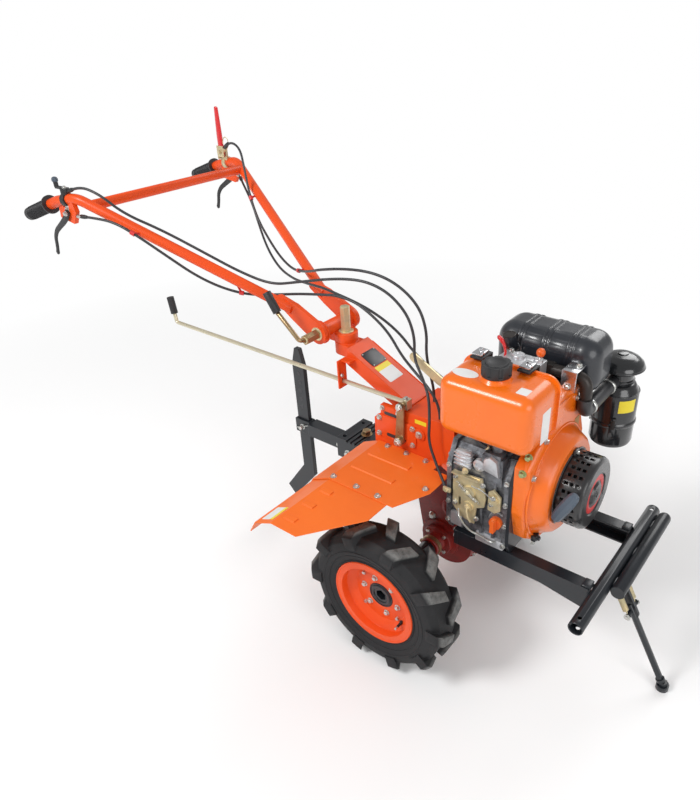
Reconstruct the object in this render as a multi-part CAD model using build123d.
from build123d import *
import math
import os

# Two-wheel power tiller with a diesel engine. Millimetres, X forward, Y left, Z up.
# Every size below is measured from the wheel axle in X and from the floor in Z;
# the finished pieces are shifted once so that the origin lies under the middle of the machine.

# Wheels
TYRE_R = 205.0
TYRE_W = 108.0
LUG_H = 17.0
LUG_COUNT = 10
LUG_THICK = 27.0
LUG_SLANT = 18.0
LUG_OVER = 5.0
LUG_FOOT_R = 160.0
WALL_LOW_R = 150.0
WALL_HIGH_R = 174.0
RIM_FLANGE_R = 117.0
RIM_SEAT_R = 102.0
RIM_W = 88.0
RIM_WALL = 3.5
RIM_DISC_IN = 33.0
TRACK = 600.0
HUB_FACE_R = 35.0
HUB_SLEEVE_R = 24.0
HUB_FLANGE_R = 62.0
HUB_FLANGE_T = 8.0
HEX_AF = 27.0
AXLE_JOURNAL_R = 16.0
RUN_GAP = 0.3
SEAT_GAP = 0.3

# Gearbox, clutch housing and handle column
GEARBOX_HALF = 46.0
GEARBOX_R = 76.0
GEARBOX_LOBE_X = 20.0
GEARBOX_REAR = -72.0
GEARBOX_FRONT = 96.0
GEARBOX_NECK_FRONT = 64.0
GEARBOX_TOP = 462.0
GEARBOX_HEEL_Z = 300.0
FLANGE_T = 14.0
FLANGE_OVER = 8.0
SEAL_R = 44.0
SEAL_T = 22.0
SEAL_NECK_R = 27.0
SEAL_NECK_L = 34.0
CLUTCH_HALF = 75.0
CLUTCH_REAR = -190.0
CLUTCH_FRONT = 20.0
CLUTCH_LIP = 24.0
CLUTCH_REAR_Z = 536.0
BELL_FLANGE_T = 10.0
BELL_R = 118.0
BACK_PLATE_T = 9.0
COLUMN_W = 90.0
COLUMN_H = 40.0
COLUMN_SLOPE = 27.0
COLUMN_FOOT = (-93.0, 584.0)
COLUMN_END_X = -300.0
PIN_X = -335.0
PIN_R = 10.0
PIN_TOP = 784.0
PIN_HEX_AF = 23.0
LUG_R = 32.0
LUG_Z = 656.0
LUG_T = 32.0
ROD_GUIDE_X = -288.0

# Steering yoke and handlebar
YOKE_RING_R = 31.0
YOKE_RING_H = 26.0
TILT_X = -374.0
TILT_Z = 722.0
TILT_TUBE_R = 20.0
TILT_HALF = 58.0
SERRATED_R = 30.0
SERRATED_T = 5.0
HANDLE_R = 14.0
HANDLE_PLATE_T = 12.0
HANDLE_EYE_R = 29.0
HANDLE_START = (-482.0, 778.0)
HANDLE_BEND = (-1008.0, 280.0, 1034.0)
HANDLE_TAIL = (-1092.0, 289.0, 1019.0)
HANDLE_END = (-1246.0, 298.0, 967.0)
CROSSBAR_X = -972.0
CROSSBAR_R = 13.5
GRIP_R = 18.0
GRIP_L = 128.0
LOCK_BOLT_R = 8.0
CLAMP_R = HANDLE_R + 4
CLAMP_W = 17.0
CLUTCH_CLAMP = 0.62
THROTTLE_CLAMP = 0.5

# Engine
CRANK_Z = 492.0
CASE_REAR = 76.0
CASE_FRONT = 248.0
CASE_HALF = 140.0
CASE_TOP = 592.0
CASE_SHOULDER = 540.0
CYL_X = 158.0
CYL_Y = 24.0
CYL_HALF_X = 62.0
CYL_HALF_Y = 66.0
HEAD_TOP = 706.0
PLATE_T = 5.0
GOVERNOR_X = 139.0
GOVERNOR_Z = 480.0
PUMP_PLATE_X = 206.0
FIN_T = 4.0
FIN_PITCH = 12.0
FIN_DEEP = 14.0
PUMP_X = 192.0
OIL_X = 214.0
OIL_Z = 425.0
OIL_R = 15.0
ROCKER_TOP = 752.0
SHROUD_T = 36.0
VOLUTE_R = 150.0
VOLUTE_FRONT_R = 118.0
VOLUTE_FRONT = 322.0
STARTER_R = 87.0
STARTER_FRONT = 385.0
VENT_ROWS = 3
VENT_COUNT = 28
VENT_SIDE = 8.0
VENT_PITCH = 13.0
SHROUD_ROUND = 12.0
TANK_REAR = 88.0
TANK_FRONT = 304.0
TANK_RIGHT = -207.0
TANK_LEFT = -66.0
TANK_BASE = 664.0
TANK_TOP = 797.0
TANK_ROUND = 26.0
CAP_R = 31.0
CAP_X = 196.0
CAP_Y = -150.0
SEAM_Y = -90.0
SEAM_T = 6.0
SEAM_OVER = 6.0
CAP_H = 26.0
MUFFLER_REAR = 45.0
MUFFLER_FRONT = 308.0
MUFFLER_RIGHT = 104.0
MUFFLER_LEFT = 236.0
MUFFLER_BASE = 652.0
MUFFLER_TOP = 793.0
MUFFLER_ROUND = 44.0
BAND_W = 6.0
BAND_H = 2.0
CLEANER_X = 305.0
CLEANER_Y = 288.0
CLEANER_R = 57.0
CLEANER_BASE = 457.0
CLEANER_TOP = 632.0
CLEANER_CAP_R = 57.0
CLEANER_CAP_Z = 668.0
INTAKE_X = 302.0
INTAKE_Z = 640.0
CLEANER_NECK_R = 36.0

# Chassis, bumper and prop stand
BEAM_Y = 118.0
BEAM_W = 32.0
BEAM_H = 44.0
BEAM_TOP = 340.0
BEAM_WALL = 5.0
GUSSET_L = 120.0
GUSSET_H = 18.0
BEAM_FRONT = 444.0
REAR_PLATE_T = 11.0
BUMPER_HALF = 236.0
BUMPER_R = 17.0
BUMPER_WALL = 3.0
BUMPER_HOLE_R = 5.0
BUMPER_HOLE_IN = 18.0
BUMPER_HOLE_Y = BUMPER_HALF - BUMPER_HOLE_IN
GUARD_R = 16.0
GUARD_START = -90.0
STAND_X = 466.0
STAND_Z = 288.0
STAND_LEAN = 29.0
STAND_PLATE_L = 105.0
STAND_PLATE_W = 24.0
STAND_PLATE_T = 8.0
STAND_ROD_R = 8.0
STAND_FOOT_R = 15.0
STAND_FOOT_H = 12.0
SPRING_Y = 24.0
SPRING_R = 7.0
SPRING_L = 84.0
STAND_PIN_R = 6.0
STAND_EAR_Y = 8.0

# Hitch and drag bar
HITCH_TOP = 408.0
HITCH_BOX_H = 50.0
HITCH_BOX_W = 56.0
HITCH_BLOCK_REAR = -346.0
HITCH_BLOCK_FRONT = -268.0
HITCH_BLOCK_HALF = 60.0
HITCH_BLOCK_H = 64.0
HITCH_ARM_W = 40.0
HITCH_HOLE_Y = 42.0
HITCH_HOLE_R = 6.0
SOCKET_X = -528.0
SOCKET_WALL = 6.0
SOCKET_H = 46.0
SOCKET_BASE = 330.0
DRAG_W = 44.0
DRAG_T = 14.0
DRAG_TOP = 614.0
DRAG_KNEE_Z = 172.0
DRAG_TIP = (-626.0, 66.0)
SLIDE_GAP = 0.6

# Fenders
FENDER_MID = 268.0
FENDER_OUT = 478.0
FENDER_T = 2.5
FENDER_Z = 470.0
FENDER_REAR = -252.0
FENDER_FRONT = 62.0
FENDER_DROP = 62.0
RIB_W = 20.0
RIB_H = 3.0

# Shift rod
ROD_Y = 62.0
ROD_Z = 603.0
ROD_R = 6.0
ROD_FRONT = -98.0
ROD_REAR = -1000.0
ROD_GRIP_R = 11.0
SHIFT_FOOT_Z = 500.0

# Cables
CABLE_R = 3.5
ARC_SHARE = 0.45
STRAP_Y = 12.0
STRAP_T = 5.0
STRAP_KNEE = (-30.0, 664.0)
STRAP_TIP = (-105.0, 706.0)

# The machine reaches from the grips' ends to the prop stand's foot
REACH_REAR = HANDLE_END[0] - 6.0
STAND_LEN = (STAND_Z - STAND_FOOT_H) / math.cos(math.radians(STAND_LEAN))
REACH_FRONT = STAND_X + STAND_LEN * math.sin(math.radians(STAND_LEAN)) + STAND_FOOT_R
AXLE_X = -(REACH_REAR + REACH_FRONT) / 2


def block(x0, x1, y0, y1, z0, z1):
    return Pos((x0 + x1) / 2, (y0 + y1) / 2, (z0 + z1) / 2) * Box(
        abs(x1 - x0), abs(y1 - y0), abs(z1 - z0))


def bar(a, b, r):
    start = Vector(*a)
    run = Vector(*b) - start
    return extrude(Plane(origin=start, z_dir=run) * Circle(r), amount=run.length)


def drum_x(x0, x1, y, z, r):
    return bar((x0, y, z), (x1, y, z), r)


def drum_y(x, y0, y1, z, r):
    return bar((x, y0, z), (x, y1, z), r)


def drum_z(x, y, z0, z1, r):
    return bar((x, y, z0), (x, y, z1), r)


def hex_bar(a, b, across):
    start = Vector(*a)
    run = Vector(*b) - start
    radius = across / 2 / math.cos(math.radians(30))
    return extrude(Plane(origin=start, z_dir=run) * RegularPolygon(radius, 6), amount=run.length)


def side_plate(points, y0, y1):
    """Outline in X and Z, carried from y0 to y1."""
    face = make_face(Polyline(*points, close=True))
    plane = Plane(origin=(0, max(y0, y1), 0), x_dir=(1, 0, 0), z_dir=(0, -1, 0))
    return extrude(plane * face, amount=abs(y1 - y0))


def cross_plate(points, x0, x1):
    """Outline in Y and Z, carried from x0 to x1."""
    face = make_face(Polyline(*points, close=True))
    plane = Plane(origin=(min(x0, x1), 0, 0), x_dir=(0, 1, 0), z_dir=(1, 0, 0))
    return extrude(plane * face, amount=abs(x1 - x0))


def strap(points, widths, y0, y1):
    """Flat bar that follows points in X and Z, with a half width at each point."""
    out = None
    for (p, q), (r, s) in zip(zip(points, points[1:]), zip(widths, widths[1:])):
        run = Vector(q[0] - p[0], q[1] - p[1])
        side = Vector(-run.Y, run.X).normalized()
        corners = [
            (p[0] + side.X * r, p[1] + side.Y * r),
            (q[0] + side.X * s, q[1] + side.Y * s),
            (q[0] - side.X * s, q[1] - side.Y * s),
            (p[0] - side.X * r, p[1] - side.Y * r),
        ]
        piece = side_plate(corners, y0, y1)
        piece += drum_y(p[0], y0, y1, p[1], r) + drum_y(q[0], y0, y1, q[1], s)
        out = piece if out is None else out + piece
    return out


def tube_along(points, radii, r):
    path = FilletPolyline(*points, radius=radii)
    start = Plane(origin=path @ 0, z_dir=path % 0)
    return sweep(start * Circle(r), path=path)


def mirror_y(shape):
    return mirror(shape, about=Plane.XZ)


def save(node, *shapes):
    solids = []
    for shape in shapes:
        solids += (Pos(AXLE_X, 0, 0) * shape).solids()
    export_step(solids[0] if len(solids) == 1 else Compound(solids), f"parts/{node}.step")
    print(node, len(solids), [round(s.volume) for s in solids])


def wheel_profile(points):
    """Closed outline of radius and offset from the wheel's middle, revolved about Y."""
    face = make_face(Polyline(*[(r, y) for r, y in points], close=True))
    return revolve(Plane.XY * face, axis=Axis.Y)


def tyre_carcass():
    half = TYRE_W / 2
    bead = RIM_W / 2 - RIM_WALL - SEAT_GAP
    inner = RIM_SEAT_R + SEAT_GAP
    crown = TYRE_R - LUG_H
    outline = [
        (inner, -bead), (RIM_FLANGE_R + 1, -bead), (WALL_LOW_R, -half + 3), (WALL_HIGH_R, -half + 6),
        (crown, -half + 22), (crown, half - 22), (WALL_HIGH_R, half - 6), (WALL_LOW_R, half - 3),
        (RIM_FLANGE_R + 1, bead), (inner, bead),
    ]
    return wheel_profile(outline)


def tyre_lugs():
    """Slanting bars of both halves, staggered by half a pitch, cut to the tread's round contour."""
    half = TYRE_W / 2
    contour = wheel_profile([
        (LUG_FOOT_R, -half + 1), (TYRE_R - 12, -half), (TYRE_R, -half + 14), (TYRE_R, half - 14),
        (TYRE_R - 12, half), (LUG_FOOT_R, half - 1),
    ])
    outline = [
        (LUG_SLANT, -LUG_OVER), (LUG_SLANT + LUG_THICK, -LUG_OVER), (-LUG_SLANT + LUG_THICK + 4, half + 1),
        (-LUG_SLANT - 2, half + 1),
    ]
    face = make_face(Polyline(*outline, close=True))
    one = extrude(Plane.XY.offset(LUG_FOOT_R) * face, amount=TYRE_R - LUG_FOOT_R + 2) & contour
    other = mirror_y(one)
    pitch = 360 / LUG_COUNT
    out = []
    for k in range(LUG_COUNT):
        out.append(Rot(0, k * pitch, 0) * one)
        out.append(Rot(0, (k + 0.5) * pitch, 0) * other)
    return out


def tyre():
    solid = tyre_carcass().fuse(*tyre_lugs())
    return Pos(0, -TRACK / 2, TYRE_R) * solid


def rim():
    half = RIM_W / 2
    seat = RIM_SEAT_R
    disc = -half + RIM_DISC_IN
    outline = [
        (RIM_FLANGE_R, -half), (RIM_FLANGE_R, -half + RIM_WALL), (seat, -half + RIM_WALL), (seat, -half + 22),
        (seat - 12, -half + 28), (seat - 12, half - 28), (seat, half - 22), (seat, half - RIM_WALL),
        (RIM_FLANGE_R, half - RIM_WALL), (RIM_FLANGE_R, half), (seat - RIM_WALL, half),
        (seat - RIM_WALL, half - 20), (seat - 12 - RIM_WALL, half - 26),
        (seat - 12 - RIM_WALL, disc + RIM_WALL + 8),
        (78, disc + RIM_WALL), (HUB_FACE_R + SEAT_GAP, disc + RIM_WALL), (HUB_FACE_R + SEAT_GAP, disc),
        (76, disc), (seat - 12 - RIM_WALL, disc - 8), (seat - RIM_WALL, -half + 20), (seat - RIM_WALL, -half),
    ]
    return Pos(0, -TRACK / 2, TYRE_R) * wheel_profile(outline)


def hub():
    """Flanged sleeve with a hexagonal bore, on the half axle that enters the gearbox."""
    face_y = -TRACK / 2 - RIM_W / 2 + RIM_DISC_IN
    back_y = face_y + RIM_WALL + SEAT_GAP
    axle_z = TYRE_R
    sleeve_end = -GEARBOX_HALF - SEAL_T - SEAL_NECK_L - 4
    body = drum_y(0, face_y, back_y + HUB_FLANGE_T, axle_z, HUB_FACE_R)
    body += drum_y(0, back_y, back_y + HUB_FLANGE_T, axle_z, HUB_FLANGE_R)
    body += drum_y(0, back_y, sleeve_end, axle_z, HUB_SLEEVE_R)
    socket = hex_bar((0, face_y - 1, axle_z), (0, face_y + 40, axle_z), HEX_AF)
    journal = drum_y(0, sleeve_end - 1, -GEARBOX_HALF - 2, axle_z, AXLE_JOURNAL_R)
    return body - socket + journal


def gearbox_case():
    low = drum_y(GEARBOX_LOBE_X, -GEARBOX_HALF, GEARBOX_HALF, TYRE_R, GEARBOX_R)
    neck = side_plate([
        (GEARBOX_REAR, GEARBOX_HEEL_Z), (GEARBOX_LOBE_X - GEARBOX_R, TYRE_R), (GEARBOX_LOBE_X + GEARBOX_R, TYRE_R),
        (GEARBOX_FRONT, BEAM_TOP - BEAM_H - 6), (GEARBOX_FRONT, BEAM_TOP - 20),
        (GEARBOX_NECK_FRONT, BEAM_TOP - 4), (GEARBOX_NECK_FRONT, GEARBOX_TOP),
        (GEARBOX_REAR - 8, GEARBOX_TOP), (GEARBOX_REAR, GEARBOX_TOP - 42),
    ], -GEARBOX_HALF, GEARBOX_HALF)
    rib = block(GEARBOX_REAR - 10, GEARBOX_REAR + 8, -18, 18, GEARBOX_HEEL_Z - 14, GEARBOX_HEEL_Z)
    return low + neck + rib + gearbox_flange()


def gearbox_flange():
    """Raised flange of the two case halves, down the rear edge and round the lobe."""
    half = FLANGE_T / 2
    grow = FLANGE_OVER
    ring = drum_y(GEARBOX_LOBE_X, -half, half, TYRE_R, GEARBOX_R + grow)
    edge = side_plate([
        (GEARBOX_REAR - grow, GEARBOX_TOP - 2), (GEARBOX_REAR - grow, GEARBOX_HEEL_Z - 2),
        (GEARBOX_LOBE_X - GEARBOX_R - grow, TYRE_R), (GEARBOX_LOBE_X, TYRE_R),
        (GEARBOX_REAR + 20, GEARBOX_HEEL_Z - 2), (GEARBOX_REAR + 20, GEARBOX_TOP - 2),
    ], -half, half)
    arm = block(-300, GEARBOX_REAR, -HITCH_BOX_W / 2, HITCH_BOX_W / 2, HITCH_TOP - HITCH_BOX_H, HITCH_TOP)
    above = block(GEARBOX_LOBE_X, GEARBOX_LOBE_X + 200, -half - 1, half + 1, TYRE_R + 40, BEAM_TOP)
    return (ring + edge - arm - above).solids().sort_by(SortBy.VOLUME)[-1]


def seal_flanges():
    out = []
    for side in (-1, 1):
        y0 = side * GEARBOX_HALF
        y1 = side * (GEARBOX_HALF + SEAL_T)
        y2 = side * (GEARBOX_HALF + SEAL_T + SEAL_NECK_L)
        ring = drum_y(0, y0, y1, TYRE_R, SEAL_R) + drum_y(0, y1, y2, TYRE_R, SEAL_NECK_R)
        out.append(ring - drum_y(0, y0, y2, TYRE_R, AXLE_JOURNAL_R + RUN_GAP))
    return out


def slope_point(along, down=0.0):
    """Point on the column: along its top from the foot, then down square to it."""
    a = math.radians(COLUMN_SLOPE)
    x = COLUMN_FOOT[0] - along * math.cos(a) - down * math.sin(a)
    z = COLUMN_FOOT[1] + along * math.sin(a) - down * math.cos(a)
    return (x, z)


def clutch_housing():
    foot = slope_point(0)
    heel = slope_point(0, COLUMN_H)
    shell = side_plate([
        (CLUTCH_REAR, GEARBOX_TOP), (CLUTCH_REAR, CLUTCH_REAR_Z), (CLUTCH_REAR + 22, CLUTCH_REAR_Z + 10), heel, foot,
        (CLUTCH_FRONT, foot[1] + 6), (CLUTCH_FRONT, GEARBOX_TOP),
    ], -CLUTCH_HALF, CLUTCH_HALF)
    lip_top = FENDER_Z - FENDER_T
    wide = CLUTCH_HALF + CLUTCH_LIP
    return shell + block(CLUTCH_REAR + 30, CLUTCH_FRONT - 20, -wide, wide, GEARBOX_TOP, lip_top)


def bell_housing():
    """Cone from the clutch housing to the round flange on the engine's rear face."""
    flange = CASE_REAR - BELL_FLANGE_T
    top = COLUMN_FOOT[1] + 6
    rear = Plane(origin=(CLUTCH_FRONT, 0, (top + GEARBOX_TOP) / 2), x_dir=(0, 1, 0), z_dir=(1, 0, 0))
    front = Plane(origin=(flange, 0, CRANK_Z), x_dir=(0, 1, 0), z_dir=(1, 0, 0))
    throat = rear * Rectangle(2 * CLUTCH_HALF, top - GEARBOX_TOP)
    mouth = front * Rectangle(2 * BELL_R - 46, 2 * BELL_R - 36)
    cone = loft([throat, mouth])
    cone -= block(CLUTCH_FRONT, CASE_REAR, -BELL_R, BELL_R, 0, GEARBOX_TOP)
    return cone + drum_x(flange, CASE_REAR, 0, CRANK_Z, BELL_R)


def handle_column():
    a = math.radians(COLUMN_SLOPE)
    top_len = (COLUMN_FOOT[0] - COLUMN_END_X) / math.cos(a)
    foot = slope_point(0)
    heel = slope_point(0, COLUMN_H)
    crown = slope_point(top_len)
    under = (COLUMN_END_X, crown[1] - COLUMN_H / math.cos(a))
    half = COLUMN_W / 2
    box = side_plate([foot, heel, under, crown], -half, half)
    lug_top = LUG_Z + LUG_T
    lug = block(PIN_X, COLUMN_END_X + 2, -LUG_R, LUG_R, LUG_Z, lug_top)
    lug += drum_z(PIN_X, 0, LUG_Z, lug_top, LUG_R)
    arm_x = ROD_GUIDE_X
    arm_z = slope_point((COLUMN_FOOT[0] - arm_x) / math.cos(a))[1] - 18
    arm = block(arm_x - 17, arm_x + 17, -ROD_Y - 4, -half, arm_z - 5, arm_z)
    hanger = block(arm_x - 17, arm_x - 12, -ROD_Y - 18, -ROD_Y + 14, ROD_Z - 18, arm_z)
    column = box + lug + arm + hanger
    column -= drum_z(PIN_X, 0, LUG_Z - 1, lug_top + 1, PIN_R)
    return column - drum_x(arm_x - 20, arm_x, -ROD_Y, ROD_Z, ROD_R + SEAT_GAP)


def pivot_pin():
    lug_top = LUG_Z + LUG_T
    ring_top = lug_top + RUN_GAP + YOKE_RING_H
    pin = drum_z(PIN_X, 0, LUG_Z - 12, ring_top + RUN_GAP, PIN_R)
    head = hex_bar((PIN_X, 0, LUG_Z - 12), (PIN_X, 0, LUG_Z), 30)
    return pin + head + hex_bar((PIN_X, 0, ring_top + RUN_GAP), (PIN_X, 0, PIN_TOP), PIN_HEX_AF)


def shift_rod():
    y = -ROD_Y
    rod = tube_along([
        (ROD_FRONT, y, ROD_Z), (ROD_REAR, y, ROD_Z), (ROD_REAR - 4, y, ROD_Z + 30),
    ], [9.0], ROD_R)
    return rod + block(ROD_FRONT - 8, ROD_FRONT + 12, y - 10, y + 10, ROD_Z - 16, ROD_Z + 10)


def shift_grip():
    y = -ROD_Y
    foot = Vector(ROD_REAR - 4, y, ROD_Z + 30 + SEAT_GAP)
    return bar(tuple(foot), (ROD_REAR - 10, y, ROD_Z + 82), ROD_GRIP_R)


def shift_lever():
    y0 = -CLUTCH_HALF - 12
    x = ROD_FRONT + 2
    low = (x - 6, SHIFT_FOOT_Z)
    lever = strap([(x, ROD_Z), low], [10, 13], y0, y0 + 5)
    lever += drum_y(low[0], y0 - 6, -CLUTCH_HALF, low[1], 13)
    return lever + drum_y(x, y0, -ROD_Y - 10, ROD_Z, 7)


def cable_strap():
    """Zinc strap that holds the cables' ends beside the tank."""
    flange_x = CASE_REAR - BELL_FLANGE_T / 2
    foot_z = CRANK_Z + math.sqrt(BELL_R ** 2 - STRAP_Y ** 2)
    y = -STRAP_Y
    flat = strap([(flange_x, foot_z + 12), STRAP_KNEE, STRAP_TIP], [9, 12, 12], y - STRAP_T, y)
    return flat + block(flange_x - 5, flange_x + 5, y - STRAP_T - 3, y, foot_z, foot_z + 14)


def frame_beam(side):
    y_out = BEAM_Y + BEAM_W / 2
    y_in = BEAM_Y - BEAM_W / 2
    z0 = BEAM_TOP - BEAM_H
    top = block((GEARBOX_FRONT + REAR_PLATE_T), BEAM_FRONT, y_in, y_out, BEAM_TOP - BEAM_WALL, BEAM_TOP)
    web = block((GEARBOX_FRONT + REAR_PLATE_T), BEAM_FRONT, y_out - BEAM_WALL, y_out, z0, BEAM_TOP)
    low = block((GEARBOX_FRONT + REAR_PLATE_T), BEAM_FRONT, y_in, y_out, z0, z0 + BEAM_WALL)
    gusset = side_plate([
        (BEAM_FRONT - GUSSET_L, z0 + 1), (BEAM_FRONT, z0 + 1), (BEAM_FRONT, z0 - GUSSET_H),
    ], y_out - BEAM_WALL, y_out)
    beam = top + web + low + gusset
    return beam if side > 0 else mirror_y(beam)


def frame_rear_plate():
    half = BEAM_Y + BEAM_W / 2
    return block(GEARBOX_FRONT, GEARBOX_FRONT + REAR_PLATE_T, -half, half, BEAM_TOP - BEAM_H, BEAM_TOP)


def bumper_crossbar():
    """Open round tube across the beams' front ends, with the prop stand's ears below it."""
    x = BEAM_FRONT + BUMPER_R
    z = BEAM_TOP - BUMPER_R
    ear = block(STAND_X - 16, STAND_X + 14, STAND_EAR_Y, STAND_EAR_Y + 6, STAND_Z - 14, z - BUMPER_R / 2)
    tube = drum_y(x, -BUMPER_HALF, BUMPER_HALF, z, BUMPER_R) + ear + mirror_y(ear)
    tube -= drum_y(x, -BUMPER_HALF - 1, BUMPER_HALF + 1, z, BUMPER_R - BUMPER_WALL)
    for y in (-BUMPER_HOLE_Y, BUMPER_HOLE_Y):
        tube -= drum_z(x, y, z - BUMPER_R - 1, z + BUMPER_R + 1, BUMPER_HOLE_R)
    return tube - drum_y(STAND_X, -40, 40, STAND_Z, STAND_PIN_R + RUN_GAP)


def bumper_guard():
    """Second tube welded in front of the crossbar's left half, with a closed round end."""
    x = BEAM_FRONT + 2 * BUMPER_R + GUARD_R + SEAT_GAP
    z = BEAM_TOP - BUMPER_R
    end = BUMPER_HALF - GUARD_R
    return drum_y(x, GUARD_START, end, z, GUARD_R) + Pos(x, end, z) * Sphere(GUARD_R)


def stand_leg():
    a = math.radians(STAND_LEAN)
    way = Vector(math.sin(a), 0, -math.cos(a))
    eye = Vector(STAND_X, 0, STAND_Z)
    knee = eye + way * STAND_PLATE_L
    foot = eye + way * STAND_LEN
    half = STAND_PLATE_T / 2
    plate = strap([(eye.X, eye.Z), (knee.X, knee.Z)], [STAND_PLATE_W / 2, STAND_PLATE_W / 2 + 2], -half, half)
    rod = bar(tuple(knee - way * 26), tuple(foot), STAND_ROD_R)
    shoe = drum_z(foot.X, 0, 0, STAND_FOOT_H + 3, STAND_FOOT_R)
    hook = eye + way * (2 * STAND_PIN_R + SPRING_L + 2 * RUN_GAP - 1)
    long = SPRING_Y + 6
    hinge_pin = drum_y(STAND_X, -long, long, STAND_Z, STAND_PIN_R)
    spring_pin = drum_y(hook.X, -long, long, hook.Z, STAND_PIN_R - 1)
    return plate + rod + shoe + hinge_pin + spring_pin


def stand_springs():
    a = math.radians(STAND_LEAN)
    way = Vector(math.sin(a), 0, -math.cos(a))
    out = []
    for side in (-1, 1):
        top = Vector(STAND_X, side * SPRING_Y, STAND_Z) + way * (STAND_PIN_R + RUN_GAP)
        out.append(bar(tuple(top), tuple(top + way * SPRING_L), SPRING_R))
    return out


def hitch_bracket():
    z1 = HITCH_TOP
    z0 = z1 - HITCH_BOX_H
    half = HITCH_BOX_W / 2
    arm = block(HITCH_BLOCK_FRONT, GEARBOX_REAR, -half, half, z0, z1)
    grip = block(HITCH_BLOCK_REAR, HITCH_BLOCK_FRONT, -HITCH_BLOCK_HALF, HITCH_BLOCK_HALF, z1 - HITCH_BLOCK_H, z1)
    for k in range(3):
        x = HITCH_BLOCK_REAR + 36 + 15 * k
        grip -= block(x, x + 7, -HITCH_BLOCK_HALF - 1, HITCH_BLOCK_HALF + 1, z1 - 6, z1 + 1)
    for y in (-HITCH_HOLE_Y, HITCH_HOLE_Y):
        grip -= drum_z(HITCH_BLOCK_REAR + 16, y, z1 - HITCH_BLOCK_H - 1, z1 + 1, HITCH_HOLE_R)
    return arm + grip


def hitch_arm():
    z_mid = SOCKET_BASE + SOCKET_H / 2
    half = HITCH_ARM_W / 2
    in_x = DRAG_W / 2 + SLIDE_GAP
    in_y = DRAG_T / 2 + SLIDE_GAP
    front = SOCKET_X + in_x + SOCKET_WALL
    arm = block(front, HITCH_BLOCK_REAR, -half, half, z_mid - half, z_mid + half)
    rear = SOCKET_X - in_x - SOCKET_WALL
    top = SOCKET_BASE + SOCKET_H
    sleeve = block(rear, front, -in_y - SOCKET_WALL, in_y + SOCKET_WALL, SOCKET_BASE, top)
    sleeve -= block(SOCKET_X - in_x, SOCKET_X + in_x, -in_y, in_y, SOCKET_BASE - 1, top + 1)
    return arm + sleeve


def drag_bar():
    half = DRAG_T / 2
    w = DRAG_W / 2
    upright = side_plate([
        (SOCKET_X - w, DRAG_TOP - 52), (SOCKET_X - 8, DRAG_TOP), (SOCKET_X + 10, DRAG_TOP),
        (SOCKET_X + w, DRAG_TOP - 52), (SOCKET_X + w, DRAG_KNEE_Z),
        (DRAG_TIP[0] + 22, DRAG_TIP[1] - 12), (DRAG_TIP[0] - 8, DRAG_TIP[1] + 20),
        (SOCKET_X - w, DRAG_KNEE_Z + 26),
    ], -half, half)
    return upright


def fender_sheet(x_rear, x_front, y0, y1, z, drop):
    t = FENDER_T
    bend = 78.0
    low = z - drop
    outline = [
        (x_rear, low), (x_rear + 22, low + 36), (x_rear + bend, z), (x_front, z),
        (x_front, z - t), (x_rear + bend + 1, z - t), (x_rear + 22 + t, low + 34), (x_rear + t, low - 1),
    ]
    return side_plate(outline, y0, y1)


def fender():
    """Inner and outer sheet of the left fender, lapped at the middle bolts."""
    inner_y = CLUTCH_HALF + SEAT_GAP
    lap = 12.0
    inner = fender_sheet(FENDER_REAR, FENDER_FRONT, inner_y, FENDER_MID + lap, FENDER_Z, FENDER_DROP)
    inner -= block(CLUTCH_FRONT - 4, FENDER_FRONT + 1, 0, inner_y + 30, 0, FENDER_Z + 1)
    under = FENDER_Z - FENDER_T - SEAT_GAP
    outer = fender_sheet(FENDER_REAR + 2, FENDER_FRONT - 60, FENDER_MID - lap, FENDER_OUT, under, FENDER_DROP)
    outer -= nose_cut([(FENDER_FRONT - 160, FENDER_OUT + 5), (FENDER_FRONT - 55, FENDER_MID + 70)])
    inner -= nose_cut([(FENDER_FRONT - 44, FENDER_MID + lap + 5), (FENDER_FRONT + 5, FENDER_MID - 90)])
    for y in (inner_y + 62, inner_y + 128):
        inner += fender_rib(FENDER_REAR + 92, FENDER_FRONT - 96, y, FENDER_Z)
    for y in (FENDER_MID + 52, FENDER_MID + 112, FENDER_MID + 172):
        outer += fender_rib(FENDER_REAR + 92, FENDER_FRONT - 190, y, under)
    return [inner, outer]


def fender_rib(x0, x1, y, z):
    """Pressed stiffening rib with sloping flanks."""
    half = RIB_W / 2
    top = half - 3
    return cross_plate([(y - half, z - 1), (y + half, z - 1), (y + top, z + RIB_H), (y - top, z + RIB_H)], x0, x1)


def nose_cut(line):
    """Block beyond a slanting line at a sheet's front outer corner."""
    far = [(FENDER_FRONT + 60, line[1][1]), (FENDER_FRONT + 60, line[0][1])]
    face = make_face(Polyline(*line, *far, close=True))
    return extrude(Plane.XY.offset(FENDER_Z - 60) * face, amount=70)


def crankcase_outline(grow):
    z0 = BEAM_TOP
    half = CASE_HALF + grow
    top = CASE_TOP + grow
    return [
        (-half + 14, z0), (-half, z0 + 26), (-half, CASE_SHOULDER), (-half + 26, top),
        (half - 30, top), (half, CASE_SHOULDER), (half, z0 + 26), (half - 14, z0),
    ]


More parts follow.
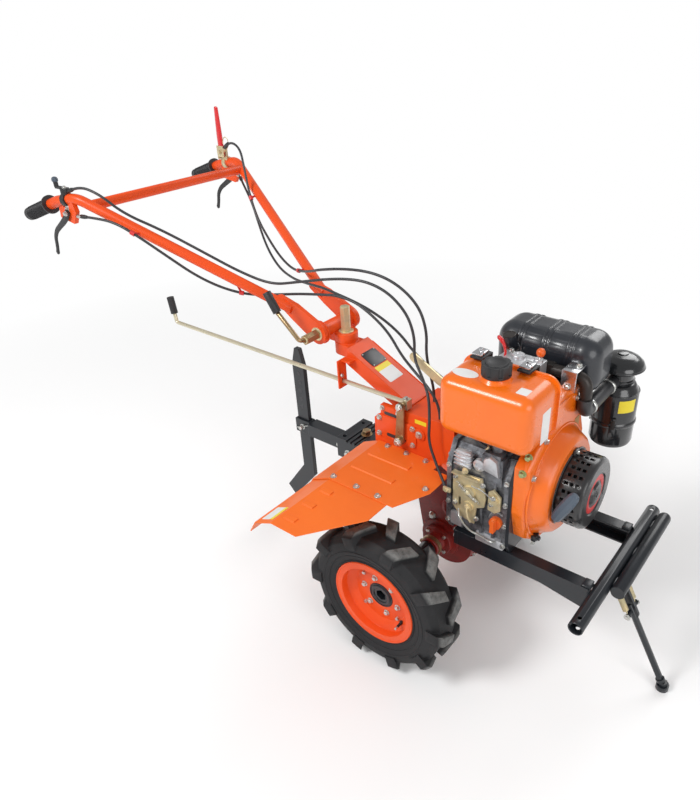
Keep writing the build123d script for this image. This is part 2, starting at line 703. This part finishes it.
def crankcase():
    """Case with its rear cover flange, ribs, governor boss and pump housing on the right side."""
    front = CASE_FRONT - BACK_PLATE_T
    case = cross_plate(crankcase_outline(-8), CASE_REAR, front)
    case += cross_plate(crankcase_outline(-1), CASE_REAR, CASE_REAR + 12)
    case += cross_plate(crankcase_outline(-1), front - 12, front)
    wall = -CASE_HALF + 8
    for x in (CASE_REAR + 40, CASE_REAR + 92, CASE_REAR + 124):
        case += block(x, x + 6, wall - 6, wall + 2, BEAM_TOP + 20, CASE_SHOULDER - 10)
        case += block(x, x + 6, -wall - 2, -wall + 6, BEAM_TOP + 20, CASE_SHOULDER - 10)
    for z in (BEAM_TOP + 60, BEAM_TOP + 130):
        case += block(CASE_REAR, front, -wall - 2, -wall + 6, z, z + 6)
    case += block(PUMP_X - 26, PUMP_X + 26, wall - 4, -CASE_HALF / 2, CASE_SHOULDER - 20, CASE_TOP)
    case += drum_y(OIL_X, wall - 7, wall + 2, OIL_Z, OIL_R + 6)
    seat_x = CYL_HALF_X + 6
    seat_y = CYL_HALF_Y + 6
    case += block(CYL_X - seat_x, CYL_X + seat_x, CYL_Y - seat_y, CYL_Y + seat_y, CASE_TOP - 12, CASE_TOP)
    return case + injection_pump()


def back_plate():
    """Sheet between the crankcase and the fan shroud, standing a little proud of both."""
    return cross_plate(crankcase_outline(3), CASE_FRONT - BACK_PLATE_T, CASE_FRONT)


def injection_pump():
    """Pump body on the crankcase's shoulder, with its delivery union and flange."""
    y = -CASE_HALF + 28
    body = block(PUMP_X - 20, PUMP_X + 20, y - 26, y + 20, CASE_TOP, CASE_TOP + 10)
    body += drum_z(PUMP_X, y, CASE_TOP + 10, CASE_TOP + 38, 15)
    return body + hex_bar((PUMP_X, y, CASE_TOP + 38), (PUMP_X, y, CASE_TOP + 54), 20)


def cylinder():
    """Air-cooled barrel and head: a core with a stack of thin fins, and the pushrod tunnel at its right."""
    x0 = CYL_X - CYL_HALF_X
    x1 = CYL_X + CYL_HALF_X
    y0 = CYL_Y - CYL_HALF_Y
    y1 = CYL_Y + CYL_HALF_Y
    z = CASE_TOP
    body = block(x0 + FIN_DEEP, x1 - FIN_DEEP, y0 + FIN_DEEP, y1 - FIN_DEEP, z, HEAD_TOP)
    level = z + FIN_PITCH - FIN_T
    while level + FIN_T < HEAD_TOP - 20:
        body += block(x0, x1, y0, y1, level, level + FIN_T)
        level += FIN_PITCH
    body += block(x0, x1, y0, y1, HEAD_TOP - 20, HEAD_TOP)
    return body + block(x0 + 20, x0 + 60, y0, y0 + FIN_DEEP + 1, z, HEAD_TOP)


def rocker_cover():
    return block(CYL_X - 52, CYL_X + 50, CYL_Y - 38, CYL_Y + 42, HEAD_TOP, ROCKER_TOP)


def outline_at(x, z, offsets):
    return [(x + dx, z + dz) for dx, dz in offsets]


def governor_plate():
    """Folded zinc plate with two pressed bosses and a slot, beside a smaller one with a hooked top."""
    y = -CASE_HALF + 2
    face = y - PLATE_T
    x = GOVERNOR_X
    z = GOVERNOR_Z
    edge = [(-43, -54), (-43, 42), (33, 48), (45, -2), (41, -28), (21, -38), (17, -88), (-21, -80)]
    plate = side_plate(outline_at(x, z, edge), face, y)
    plate += block(x - 43, x + 27, face - 9, y, z + 42, z + 45)
    plate += drum_y(x, face - 6, y, z, 17) - drum_y(x, face - 7, face, z, 9)
    plate += drum_y(x, face - 5, y, z - 41, 13)
    plate -= block(x - 27, x - 21, face - 4, y + 1, z - 50, z - 24)
    x = PUMP_PLATE_X
    edge = [(-16, -28), (-16, 22), (-4, 32), (16, 16), (16, -20), (2, -32)]
    second = side_plate(outline_at(x, z, edge), face, y)
    return [plate, second + drum_y(x, face - 5, y, z + 4, 10)]


def oil_plug():
    """Filler plug with a winged grip."""
    wall = -CASE_HALF + 1
    plug = drum_y(OIL_X, wall - 12, wall, OIL_Z, OIL_R)
    return plug + side_plate([
        (OIL_X - 5, OIL_Z - 17), (OIL_X + 5, OIL_Z - 17), (OIL_X + 4, OIL_Z + 17), (OIL_X - 4, OIL_Z + 17),
    ], wall - 26, wall - 11)


def fan_shroud():
    """Sheet-metal volute: a flat flange, a bulged collector and a round mouth for the starter."""
    x0 = CASE_FRONT
    x1 = x0 + SHROUD_T
    half = CASE_HALF
    low = BEAM_TOP + 5
    top = HEAD_TOP - 6
    outline = [
        (-half, CASE_TOP), (-half, CRANK_Z - 22), (22 - half, low + 45), (78 - half, low), (half - 80, low),
        (half - 22, low + 39), (half + 6, CRANK_Z - 32), (half + 6, CRANK_Z + 68), (half - 24, CASE_TOP + 38),
        (half - 42, CASE_TOP + 56), (half - 48, top), (CYL_Y - 68, top), (CYL_Y - 116, CASE_TOP + 36),
    ]
    plate = cross_plate(outline, x0, x1)
    plate = fillet(plate.faces().sort_by(Axis.X)[-1].edges(), SHROUD_ROUND)
    mouth = make_face(Polyline(
        (x0 + 4, 0), (x0 + 4, VOLUTE_R - 12), (x1 - 6, VOLUTE_R - 12), (x1 + 14, VOLUTE_FRONT_R + 10),
        (VOLUTE_FRONT - 6, VOLUTE_FRONT_R), (VOLUTE_FRONT, VOLUTE_FRONT_R - 8), (VOLUTE_FRONT, 0), close=True))
    return plate + Pos(0, 0, CRANK_Z) * revolve(mouth, axis=Axis.X)


def recoil_starter():
    """Drum with rows of square air holes, a rolled front edge and a recessed centre."""
    wall = 3.0
    front = STARTER_FRONT
    outline = [
        (VOLUTE_FRONT, 0), (VOLUTE_FRONT, STARTER_R), (front - 10, STARTER_R), (front - 3, STARTER_R - 3),
        (front, STARTER_R - 9), (front, 52), (front - 3, 50), (front - 3, 30), (front, 28), (front, 0),
    ]
    drum = revolve(make_face(Polyline(*outline, close=True)), axis=Axis.X)
    inner = STARTER_R - wall
    hollow = [(VOLUTE_FRONT + 4, 44), (VOLUTE_FRONT + 4, inner), (front - 12, inner), (front - 12, 44)]
    drum -= revolve(make_face(Polyline(*hollow, close=True)), axis=Axis.X)
    cutters = []
    half = VENT_SIDE / 2
    for row in range(VENT_ROWS):
        x = VOLUTE_FRONT + 12 + row * VENT_PITCH
        vent = block(x, x + VENT_SIDE, -half, half, inner - 2, STARTER_R + 2)
        cutters += [Rot(k * 360 / VENT_COUNT, 0, 0) * vent for k in range(VENT_COUNT)]
    return Pos(0, 0, CRANK_Z) * drum.cut(*cutters)


def starter_handle():
    y = -STARTER_R - 12 - SEAT_GAP
    return bar((VOLUTE_FRONT + 14, y, CRANK_Z - 24), (STARTER_FRONT - 10, y, CRANK_Z + 56), 12)


def fuel_tank():
    body = block(TANK_REAR, TANK_FRONT, TANK_RIGHT, TANK_LEFT, TANK_BASE, TANK_TOP)
    body = fillet(body.edges(), TANK_ROUND)
    neck = Pos(CAP_X, CAP_Y, TANK_TOP + 3) * Cone(CAP_R + 6, CAP_R - 4, 14)
    lip = SEAM_OVER
    seam = block(TANK_REAR - lip, TANK_FRONT + lip, SEAM_Y, SEAM_Y + SEAM_T, TANK_BASE - lip, TANK_TOP + lip)
    seam = fillet(seam.edges().filter_by(Axis.Y), TANK_ROUND + lip)
    return body + neck + seam


def fuel_cap():
    z = TANK_TOP + 10
    cap = drum_z(CAP_X, CAP_Y, z, z + CAP_H, CAP_R)
    for k in range(8):
        cap -= Pos(CAP_X, CAP_Y, 0) * Rot(0, 0, 45 * k) * drum_z(CAP_R + 3, 0, z + 5, z + CAP_H + 1, 6)
    return cap


def tank_bracket():
    """Plate between the cylinder and the tank's inner face."""
    return block(CYL_X - 38, CYL_X + 32, TANK_LEFT, CYL_Y - CYL_HALF_Y, HEAD_TOP - 30, HEAD_TOP - 6)


def muffler():
    body = block(MUFFLER_REAR, MUFFLER_FRONT, MUFFLER_RIGHT, MUFFLER_LEFT, MUFFLER_BASE, MUFFLER_TOP)
    body = fillet(body.edges(), MUFFLER_ROUND)
    for x in (MUFFLER_REAR + 62, MUFFLER_REAR + 124, MUFFLER_REAR + 186):
        body += muffler_band(x) + muffler_band(x + 13)
    flange = block(CYL_X - 48, CYL_X + 32, CYL_Y + CYL_HALF_Y, MUFFLER_RIGHT + 6, HEAD_TOP - 26, HEAD_TOP - 2)
    return body + flange


def muffler_band(x):
    """Raised bead round the muffler."""
    g = BAND_H
    band = block(x, x + BAND_W, MUFFLER_RIGHT - g, MUFFLER_LEFT + g, MUFFLER_BASE - g, MUFFLER_TOP + g)
    return fillet(band.edges().filter_by(Axis.X), MUFFLER_ROUND + g)


def upright(points):
    """Solid turned about the air cleaner's axis, from pairs of radius and height."""
    face = make_face(Plane.XZ * Polyline(*points, close=True))
    return Pos(CLEANER_X, CLEANER_Y, 0) * revolve(face, axis=Axis.Z)


def air_cleaner_body():
    """Canister with a rolled waist, an oil bowl below it and a sloping shoulder."""
    r = CLEANER_R
    z0 = CLEANER_BASE
    z1 = CLEANER_TOP
    return upright([
        (0, z0), (r - 14, z0), (r - 6, z0 + 5), (r - 3, z0 + 14), (r - 3, z0 + 62), (r, z0 + 66), (r, z0 + 72),
        (r - 3, z0 + 76), (r - 3, z1 - 24), (r - 6, z1 - 18), (CLEANER_NECK_R + 6, z1 - 3),
        (CLEANER_NECK_R, z1), (0, z1),
    ])


def air_cleaner_cap():
    """Neck and domed rain cap."""
    r = CLEANER_CAP_R
    z = CLEANER_CAP_Z
    return upright([
        (0, CLEANER_TOP), (CLEANER_NECK_R, CLEANER_TOP), (CLEANER_NECK_R, z - 3), (r - 5, z), (r, z + 5), (r, z + 9),
        (r - 4, z + 18), (r - 14, z + 27), (r - 28, z + 34), (r - 42, z + 37), (0, z + 38),
    ])


def intake_elbow():
    """Cast elbow from the head, over the fan shroud and down towards the air cleaner."""
    y = CYL_Y + CYL_HALF_Y - 11
    z = HEAD_TOP + 20
    foot = block(CYL_X + 12, CYL_X + CYL_HALF_X, y - 11, y + 11, HEAD_TOP, z + 14)
    pipe = tube_along([(CYL_X + CYL_HALF_X - 2, y, z), (INTAKE_X, y, z), (INTAKE_X, y, INTAKE_Z + 36)], [26.0], 14)
    return foot + pipe


def intake_hose():
    y = CYL_Y + CYL_HALF_Y - 11
    pipe = tube_along([
        (INTAKE_X, y, INTAKE_Z + 36 - SEAT_GAP), (INTAKE_X, y, INTAKE_Z), (INTAKE_X, CLEANER_Y, INTAKE_Z),
    ], [22.0], 17)
    pipe -= drum_z(CLEANER_X, CLEANER_Y, CLEANER_BASE, CLEANER_TOP, CLEANER_R + SEAT_GAP)
    return pipe - drum_z(CLEANER_X, CLEANER_Y, CLEANER_TOP - 1, CLEANER_CAP_Z, CLEANER_NECK_R + SEAT_GAP)


def engine_levers():
    red = drum_z(CYL_X - 40, CYL_Y + 10, ROCKER_TOP, ROCKER_TOP + 26, 7)
    knob = drum_z(CYL_X + 40, CYL_Y + 24, ROCKER_TOP, ROCKER_TOP + 22, 9)
    return [red, knob]


def yoke():
    z0 = LUG_Z + LUG_T + RUN_GAP
    z1 = z0 + YOKE_RING_H
    ring = drum_z(PIN_X, 0, z0, z1, YOKE_RING_R)
    tie = block(TILT_X, PIN_X, -24, 24, z0, z1)
    tube = drum_y(TILT_X, -TILT_HALF + SERRATED_T, TILT_HALF - SERRATED_T, TILT_Z, TILT_TUBE_R)
    discs = drum_y(TILT_X, -TILT_HALF, -TILT_HALF + SERRATED_T, TILT_Z, SERRATED_R)
    frame = ring + tie + tube + discs + mirror_y(discs)
    frame -= drum_z(PIN_X, 0, z0 - 1, z1 + 40, PIN_R + RUN_GAP)
    return frame - drum_y(TILT_X, -80, 80, TILT_Z, LOCK_BOLT_R + RUN_GAP)


def lock_crank():
    """Cross bolt, hexagon coupler and cranked rod of the handlebar lock."""
    y = -TILT_HALF - HANDLE_PLATE_T - 2 * RUN_GAP
    bolt = drum_y(TILT_X, y, TILT_HALF + HANDLE_PLATE_T + 8, TILT_Z, LOCK_BOLT_R)
    nut = hex_bar((TILT_X, y, TILT_Z), (TILT_X, y - 46, TILT_Z), 24)
    end_nut = hex_bar((TILT_X, -y, TILT_Z), (TILT_X, -y + 12, TILT_Z), 24)
    rod = tube_along([
        (TILT_X, y - 46, TILT_Z), (TILT_X - 4, y - 62, TILT_Z + 4), (TILT_X - 72, y - 62, TILT_Z + 64),
    ], [8.0], 6)
    return bolt + nut + end_nut + rod


def lock_grip():
    y = -TILT_HALF - HANDLE_PLATE_T - 2 * RUN_GAP - 62
    start = Vector(TILT_X - 72, y, TILT_Z + 64)
    way = Vector(-0.55, 0, 0.83)
    return bar(tuple(start + way * 1), tuple(start + way * 58), 11)


def handle_tube(side):
    y0 = TILT_HALF + RUN_GAP
    mid = y0 + HANDLE_PLATE_T / 2
    x, z = HANDLE_START
    middle = [(TILT_X, TILT_Z), (x + 30, z - 14), (x - 20, z + 9)]
    plate = strap(middle, [HANDLE_EYE_R, 24, HANDLE_R], y0, y0 + HANDLE_PLATE_T)
    start = (x + 18, mid, z - 8.5)
    tube = tube_along([start, HANDLE_BEND, HANDLE_TAIL, HANDLE_END], [70.0, 90.0], HANDLE_R)
    out = plate + tube - drum_y(TILT_X, 0, 200, TILT_Z, LOCK_BOLT_R + RUN_GAP)
    return out if side > 0 else mirror_y(out)


def handle_axis_point(x):
    """Centre of the left handle tube's straight stretch at x."""
    mid = TILT_HALF + RUN_GAP + HANDLE_PLATE_T / 2
    start = Vector(HANDLE_START[0] + 18, mid, HANDLE_START[1] - 8.5)
    run = Vector(*HANDLE_BEND) - start
    return start + run * ((x - start.X) / run.X)


def handle_crossbar(left_tube, right_tube):
    p = handle_axis_point(CROSSBAR_X)
    rod = drum_y(p.X, -p.Y, p.Y, p.Z, CROSSBAR_R)
    return (rod - left_tube - right_tube).solids().sort_by(SortBy.VOLUME)[-1]


def handle_grips(left_tube):
    tail = Vector(*HANDLE_TAIL)
    end = Vector(*HANDLE_END)
    way = (end - tail).normalized()
    start = end - way * (GRIP_L - 6)
    grip = bar(tuple(start), tuple(end + way * 6), GRIP_R) + bar(tuple(start), tuple(start + way * 6), GRIP_R + 7)
    grip = grip - bar(tuple(start - way * 5), tuple(end + way * RUN_GAP), HANDLE_R + SEAT_GAP)
    return [grip, mirror_y(grip)]


def brake_levers(left_tube):
    x, y, z = HANDLE_TAIL
    edge = [(6, 15), (72, 21), (84, -19), (62, -53), (0, -43)]
    bracket = side_plate(outline_at(x, z, edge), y - 8, y + 4)
    bracket = bracket - left_tube
    for along in (CLUTCH_CLAMP, THROTTLE_CLAMP):
        bracket -= handle_clamp(along, CLAMP_R + SEAT_GAP)[1]
    bracket = bracket.solids().sort_by(Axis.Z)[0]
    return [bracket, mirror_y(bracket)]


def brake_blades():
    x, y, z = HANDLE_TAIL
    middle = outline_at(x, z, [(40, -35), (10, -57), (-48, -97), (-66, -147)])
    blade = strap(middle, [9, 8, 8, 7], y + 4 + RUN_GAP, y + 12)
    return [blade, mirror_y(blade)]


def handle_clamp(along, r):
    """Middle and solid of a ring round the left handle, between its bend (0) and its tail (1)."""
    run = Vector(*HANDLE_TAIL) - Vector(*HANDLE_BEND)
    middle = Vector(*HANDLE_BEND) + run * along
    half = run.normalized() * (CLAMP_W / 2)
    return middle, bar(tuple(middle - half), tuple(middle + half), r)


def clutch_bracket(left_tube):
    p, ring = handle_clamp(CLUTCH_CLAMP, CLAMP_R)
    ear = block(p.X - 16, p.X + 16, p.Y - 14, p.Y - 10, p.Z + 10, p.Z + 52)
    return ring + ear - left_tube


def clutch_lever():
    p = handle_clamp(CLUTCH_CLAMP, CLAMP_R)[0]
    y1 = p.Y - 14 - RUN_GAP
    z = p.Z + 36
    return side_plate([
        (p.X - 12, z - 8), (p.X + 10, z - 8), (p.X + 10, z + 20), (p.X + 14, z + 100), (p.X + 6, z + 134),
        (p.X - 6, z + 134), (p.X - 12, z + 100),
    ], y1 - 5, y1)


def throttle_lever(right_tube):
    p, ring = handle_clamp(THROTTLE_CLAMP, CLAMP_R)
    body = drum_z(p.X, p.Y, p.Z + 12, p.Z + 30, 12)
    blade = block(p.X - 40, p.X, p.Y - 5, p.Y + 5, p.Z + 26, p.Z + 32)
    knob = drum_z(p.X - 38, p.Y, p.Z + 30, p.Z + 44, 6)
    return mirror_y(ring + body + blade + knob) - right_tube


# Cable routes, from the levers to the split above the steering pin and on to the engine
THROTTLE_REAR = [
    (-1036.6, -284.5, 1049), (-980, -282, 1070), (-915, -268, 1054), (-868, -240, 1004), (-800, -184, 958),
    (-702, -142, 906), (-606, -104, 856), (-520, -74, 828), (-432, -66, 850), (-345, -60, 872),
]
THROTTLE_FRONT = [
    (-344.5, -60, 872), (-262, -46, 889), (-178, -32, 874), (-114, -30, 828), (-92, -28, 768),
    (-94, -30, 712), (-52, -56, 686), (-6, -94, 664), (4, -106, 604), (2, -108, 548), (40, -126, 500),
    (84, -150, 462),
]
RIGHT_REAR = [
    (-1013.2, -286, 988), (-950, -278, 990), (-884, -262, 984), (-822, -242, 952), (-756, -210, 900),
    (-706, -170, 846), (-645, -136, 812), (-590, -92, 790), (-520, -46, 792), (-430, -38, 810), (-345, -32, 822),
]
RIGHT_FRONT = [
    (-344.5, -32, 822), (-290, -29, 824), (-226, -30, 800), (-168, -31, 762), (-130, -33, 712), (-80, -38, 676),
    (-22, -58, 654), (4, -62, 616), (4, -62, 589.9),
]
CLUTCH_REAR_RUN = [
    (-1047.8, 267.6, 1068), (-1000, 252, 1100), (-944, 246, 1086), (-902, 216, 1032), (-872, 196, 968),
    (-826, 176, 900), (-758, 152, 850), (-682, 120, 818), (-606, 90, 806), (-536, 58, 822), (-470, 26, 844),
    (-408, -6, 870), (-345, -16, 886),
]
CLUTCH_FRONT_RUN = [
    (-344.5, -16, 886), (-258, -24, 905), (-168, -10, 890), (-98, -4, 842), (-74, -3, 778), (-78, -2, 716),
    (-64, 0, 656), (-58, 4, 620), (-58, 6, 586.8),
]
LEFT_REAR = [
    (-1011.5, 286, 988), (-944, 240, 976), (-880, 210, 934), (-826, 180, 874), (-756, 140, 824), (-676, 104, 792),
    (-594, 72, 788), (-524, 40, 800), (-456, 14, 812), (-400, -2, 820), (-345, -6, 814),
]
LEFT_FRONT = [
    (-344.5, -6, 814), (-286, -6, 806), (-222, 4, 780), (-166, 12, 744), (-128, 16, 702), (-80, 20, 668),
    (-26, 24, 640), (0, 26, 590.4),
]


def cable(name, points):
    """Round cable on straight runs and arcs, each arc as wide as its shorter run allows."""
    radii = []
    for a, b, c in zip(points, points[1:], points[2:]):
        came = Vector(*b) - Vector(*a)
        goes = Vector(*c) - Vector(*b)
        half_turn = math.radians(came.get_angle(goes)) / 2
        radii.append(ARC_SHARE * min(came.length, goes.length) / math.tan(half_turn))
    solid = tube_along(points, radii, CABLE_R)
    length = solid.volume / (math.pi * CABLE_R ** 2)
    print(name, "radii", [round(r) for r in radii], "length", round(length))
    return solid


def main():
    os.makedirs("parts", exist_ok=True)
    right_tyre = tyre()
    save("tyre_right", right_tyre)
    save("tyre_left", mirror_y(right_tyre))
    right_rim = rim()
    save("rim_right", right_rim)
    save("rim_left", mirror_y(right_rim))
    right_hub = hub()
    save("hub_right", right_hub)
    save("hub_left", mirror_y(right_hub))
    save("gearbox_case", gearbox_case())
    save("seal_flanges", *seal_flanges())
    save("clutch_housing", clutch_housing())
    save("bell_housing", bell_housing())
    save("handle_column", handle_column())
    save("pivot_pin", pivot_pin())
    save("shift_rod", shift_rod())
    save("shift_grip", shift_grip())
    save("shift_lever", shift_lever())
    save("cable_strap", cable_strap())
    save("frame_beam_left", frame_beam(1))
    save("frame_beam_right", frame_beam(-1))
    save("frame_rear_plate", frame_rear_plate())
    save("bumper_crossbar", bumper_crossbar())
    save("bumper_guard", bumper_guard())
    save("stand_leg", stand_leg())
    save("stand_springs", *stand_springs())
    save("hitch_bracket", hitch_bracket())
    save("hitch_arm", hitch_arm())
    save("drag_bar", drag_bar())
    sheets = fender()
    save("fender_left", *sheets)
    save("fender_right", *[mirror_y(s) for s in sheets])
    save("crankcase", crankcase())
    save("cylinder", cylinder())
    save("rocker_cover", rocker_cover())
    save("back_plate", back_plate())
    save("governor_plate", *governor_plate())
    save("oil_plug", oil_plug())
    save("fan_shroud", fan_shroud())
    save("recoil_starter", recoil_starter())
    save("starter_handle", starter_handle())
    save("fuel_tank", fuel_tank())
    save("fuel_cap", fuel_cap())
    save("tank_bracket", tank_bracket())
    save("muffler", muffler())
    save("air_cleaner_body", air_cleaner_body())
    save("air_cleaner_cap", air_cleaner_cap())
    save("intake_elbow", intake_elbow())
    save("intake_hose", intake_hose())
    save("engine_levers", *engine_levers())
    save("yoke", yoke())
    save("lock_crank", lock_crank())
    save("lock_grip", lock_grip() - lock_crank())
    left = handle_tube(1)
    right = handle_tube(-1)
    save("handle_tube_left", left)
    save("handle_tube_right", right)
    save("handle_crossbar", handle_crossbar(left, right))
    save("handle_grips", *handle_grips(left))
    save("lever_brackets", *brake_levers(left))
    save("brake_levers", *brake_blades())
    save("cables_rear", cable("throttle", THROTTLE_REAR), cable("right", RIGHT_REAR),
         cable("clutch", CLUTCH_REAR_RUN), cable("left", LEFT_REAR))
    save("cables_front", cable("throttle", THROTTLE_FRONT), cable("right", RIGHT_FRONT),
         cable("clutch", CLUTCH_FRONT_RUN), cable("left", LEFT_FRONT))
    save("clutch_bracket", clutch_bracket(left))
    save("clutch_lever", clutch_lever())
    save("throttle_lever", throttle_lever(right))


main()
